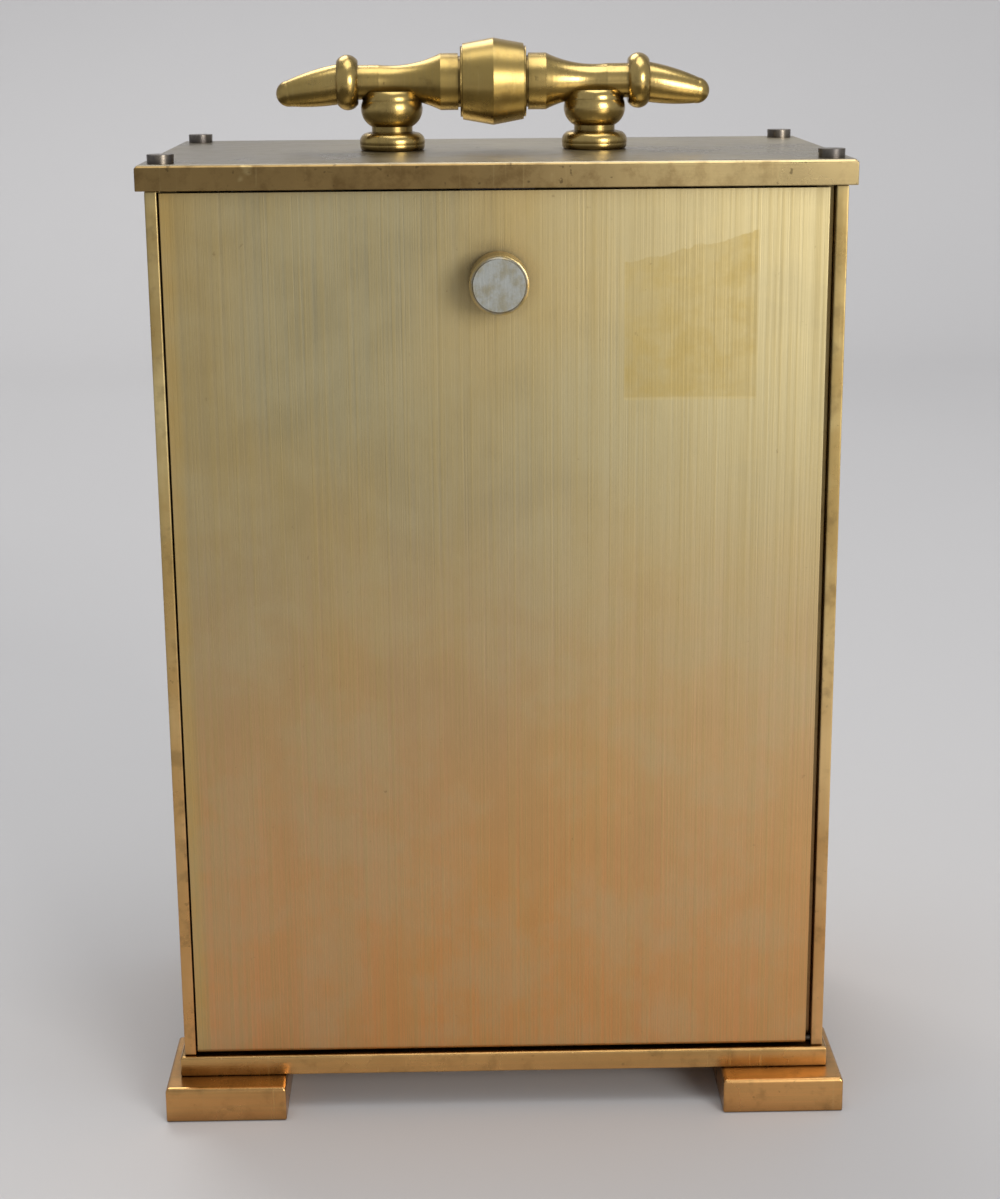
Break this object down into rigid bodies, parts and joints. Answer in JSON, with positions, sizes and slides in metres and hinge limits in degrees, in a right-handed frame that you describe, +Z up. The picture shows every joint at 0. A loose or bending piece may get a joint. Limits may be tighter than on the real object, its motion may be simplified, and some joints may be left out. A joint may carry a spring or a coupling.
{
  "type": "mantel clock",
  "caption": "Brass mantel clock case with tilting back door, turned top handle, block feet, glazed dial and a spring-driven movement with coupled wheels and hands.",
  "frame": {"origin": "on the table plane, under the middle of the case", "axes": "+Z up, the dial faces -Y, the back door faces +Y, +X is to the right seen from the dial side"},
  "size_m": [0.118, 0.0795, 0.1823],
  "materials": {
    "base_plate": "brushed",
    "feet": "brushed",
    "case_screws": "satin",
    "corner_bar_front_left": "brushed",
    "corner_bar_front_right": "brushed",
    "corner_bar_rear_left": "brushed",
    "corner_bar_rear_right": "brushed",
    "side_panel_left": "brushed",
    "side_panel_right": "brushed",
    "top_plate": "brushed",
    "door_catch_spring": "satin",
    "front_bezel": "brushed",
    "front_glass": "clear",
    "handle_barrel": "brushed",
    "handle_arm_left": "brushed",
    "handle_arm_right": "brushed",
    "handle_post_left": "brushed",
    "handle_post_right": "brushed",
    "handle_screws": "satin",
    "dial_plate": "satin",
    "dial_screws": "satin",
    "hour_markers": "polished",
    "movement_front_plate": "brushed",
    "movement_back_plate": "brushed",
    "movement_pillars": "brushed",
    "pillar_nuts": "brushed",
    "movement_studs": "satin",
    "click_spring": "satin",
    "balance_cock": "brushed",
    "back_door": "brushed",
    "door_knob": "brushed",
    "door_hinge_pins": "satin",
    "barrel_drum": "brushed",
    "great_wheel": "brushed",
    "mainspring": "satin",
    "barrel_arbor": "satin",
    "ratchet_wheel": "satin",
    "winding_key": "satin",
    "ratchet_click": "satin",
    "intermediate_wheel": "brushed",
    "intermediate_pinion": "satin",
    "centre_wheel": "brushed",
    "centre_arbor": "satin",
    "third_wheel": "brushed",
    "third_pinion": "satin",
    "fourth_wheel": "brushed",
    "fourth_pinion": "satin",
    "escape_wheel": "brushed",
    "escape_pinion": "satin",
    "pallet_lever": "satin",
    "balance_wheel": "brushed",
    "hairspring": "satin",
    "cannon_pinion": "satin",
    "minute_hand": "satin",
    "hand_nut": "brushed",
    "minute_wheel": "brushed",
    "hour_wheel": "brushed",
    "hour_hand": "satin",
    "setting_arbor": "satin",
    "setting_knob": "brushed"
  },
  "bodies": {
    "case": {"base_plate": "base_plate", "feet": "feet", "case_screws": "case_screws", "corner_bar_front_left": "corner_bar_front_left", "corner_bar_front_right": "corner_bar_front_right", "corner_bar_rear_left": "corner_bar_rear_left", "corner_bar_rear_right": "corner_bar_rear_right", "side_panel_left": "side_panel_left", "side_panel_right": "side_panel_right", "top_plate": "top_plate", "door_catch_spring": "door_catch_spring", "front_bezel": "front_bezel", "front_glass": "front_glass", "handle_barrel": "handle_barrel", "handle_arm_left": "handle_arm_left", "handle_arm_right": "handle_arm_right", "handle_post_left": "handle_post_left", "handle_post_right": "handle_post_right", "handle_screws": "handle_screws", "dial_plate": "dial_plate", "dial_screws": "dial_screws", "hour_markers": "hour_markers", "movement_front_plate": "movement_front_plate", "movement_back_plate": "movement_back_plate", "movement_pillars": "movement_pillars", "pillar_nuts": "pillar_nuts", "movement_studs": "movement_studs", "click_spring": "click_spring", "balance_cock": "balance_cock"},
    "door": {"back_door": "back_door", "door_knob": "door_knob", "door_hinge_pins": "door_hinge_pins"},
    "barrel": {"barrel_drum": "barrel_drum", "great_wheel": "great_wheel", "mainspring": "mainspring"},
    "winding": {"barrel_arbor": "barrel_arbor", "ratchet_wheel": "ratchet_wheel", "winding_key": "winding_key"},
    "click": {"ratchet_click": "ratchet_click"},
    "intermediate": {"intermediate_wheel": "intermediate_wheel", "intermediate_pinion": "intermediate_pinion"},
    "centre": {"centre_wheel": "centre_wheel", "centre_arbor": "centre_arbor"},
    "third": {"third_wheel": "third_wheel", "third_pinion": "third_pinion"},
    "fourth": {"fourth_wheel": "fourth_wheel", "fourth_pinion": "fourth_pinion"},
    "escape": {"escape_wheel": "escape_wheel", "escape_pinion": "escape_pinion"},
    "lever": {"pallet_lever": "pallet_lever"},
    "balance": {"balance_wheel": "balance_wheel", "hairspring": "hairspring"},
    "minute_hand": {"cannon_pinion": "cannon_pinion", "minute_hand": "minute_hand", "hand_nut": "hand_nut"},
    "minute_wheel": {"minute_wheel": "minute_wheel"},
    "hour_hand": {"hour_wheel": "hour_wheel", "hour_hand": "hour_hand"},
    "setting": {"setting_arbor": "setting_arbor", "setting_knob": "setting_knob"}
  },
  "joints": [
    {"name": "door_tilt", "type": "hinge", "parent": "case", "child": "door", "pos_m": [0, 0.0321, 0.01105], "axis": [-1, 0, 0], "range_deg": [0, 90]},
    {"name": "centre_turn", "type": "hinge", "parent": "case", "child": "centre", "pos_m": [0, 0.005, 0.0881], "axis": [0, 1, 0], "continuous": true},
    {"name": "barrel_turn", "type": "hinge", "parent": "case", "child": "barrel", "pos_m": [0.00931, 0.005, 0.06586], "axis": [0, 1, 0], "continuous": true},
    {"name": "intermediate_turn", "type": "hinge", "parent": "case", "child": "intermediate", "pos_m": [-0.01069, 0.005, 0.07741], "axis": [0, 1, 0], "continuous": true},
    {"name": "third_turn", "type": "hinge", "parent": "case", "child": "third", "pos_m": [0.0072, 0.005, 0.10057], "axis": [0, 1, 0], "continuous": true},
    {"name": "fourth_turn", "type": "hinge", "parent": "case", "child": "fourth", "pos_m": [-0.00281, 0.005, 0.10635], "axis": [0, 1, 0], "continuous": true},
    {"name": "escape_turn", "type": "hinge", "parent": "case", "child": "escape", "pos_m": [-0.01296, 0.005, 0.10266], "axis": [0, 1, 0], "continuous": true},
    {"name": "winding_turn", "type": "hinge", "parent": "case", "child": "winding", "pos_m": [0.00931, 0.005, 0.06586], "axis": [0, 1, 0], "continuous": true},
    {"name": "click_lift", "type": "hinge", "parent": "case", "child": "click", "pos_m": [0.01851, 0.005, 0.06086], "axis": [0, 1, 0], "range_deg": [0, 10]},
    {"name": "lever_rock", "type": "hinge", "parent": "case", "child": "lever", "pos_m": [-0.02077, 0.005, 0.10921], "axis": [0, 1, 0], "range_deg": [-4, 4]},
    {"name": "balance_swing", "type": "hinge", "parent": "case", "child": "balance", "pos_m": [-0.01806, 0.005, 0.11936], "axis": [0, 1, 0], "range_deg": [-135, 135]},
    {"name": "setting_turn", "type": "hinge", "parent": "case", "child": "setting", "pos_m": [0.01796, 0.005, 0.09127], "axis": [0, 1, 0], "continuous": true},
    {"name": "minute_wheel_turn", "type": "hinge", "parent": "case", "child": "minute_wheel", "pos_m": [0.00898, 0.005, 0.08968], "axis": [0, 1, 0], "continuous": true},
    {"name": "minute_hand_turn", "type": "hinge", "parent": "case", "child": "minute_hand", "pos_m": [0, 0.005, 0.0881], "axis": [0, 1, 0], "continuous": true},
    {"name": "hour_hand_turn", "type": "hinge", "parent": "case", "child": "hour_hand", "pos_m": [0, 0.005, 0.0881], "axis": [0, 1, 0], "continuous": true}
  ],
  "couplings": [
    {"joint": "intermediate_turn", "follows": "centre_turn", "ratio": -0.125},
    {"joint": "barrel_turn", "follows": "centre_turn", "ratio": 0.020833},
    {"joint": "third_turn", "follows": "centre_turn", "ratio": -8},
    {"joint": "fourth_turn", "follows": "centre_turn", "ratio": 60},
    {"joint": "escape_turn", "follows": "centre_turn", "ratio": -480},
    {"joint": "minute_wheel_turn", "follows": "setting_turn", "ratio": -0.33333},
    {"joint": "minute_hand_turn", "follows": "setting_turn", "ratio": 1},
    {"joint": "hour_hand_turn", "follows": "setting_turn", "ratio": 0.083333}
  ]
}
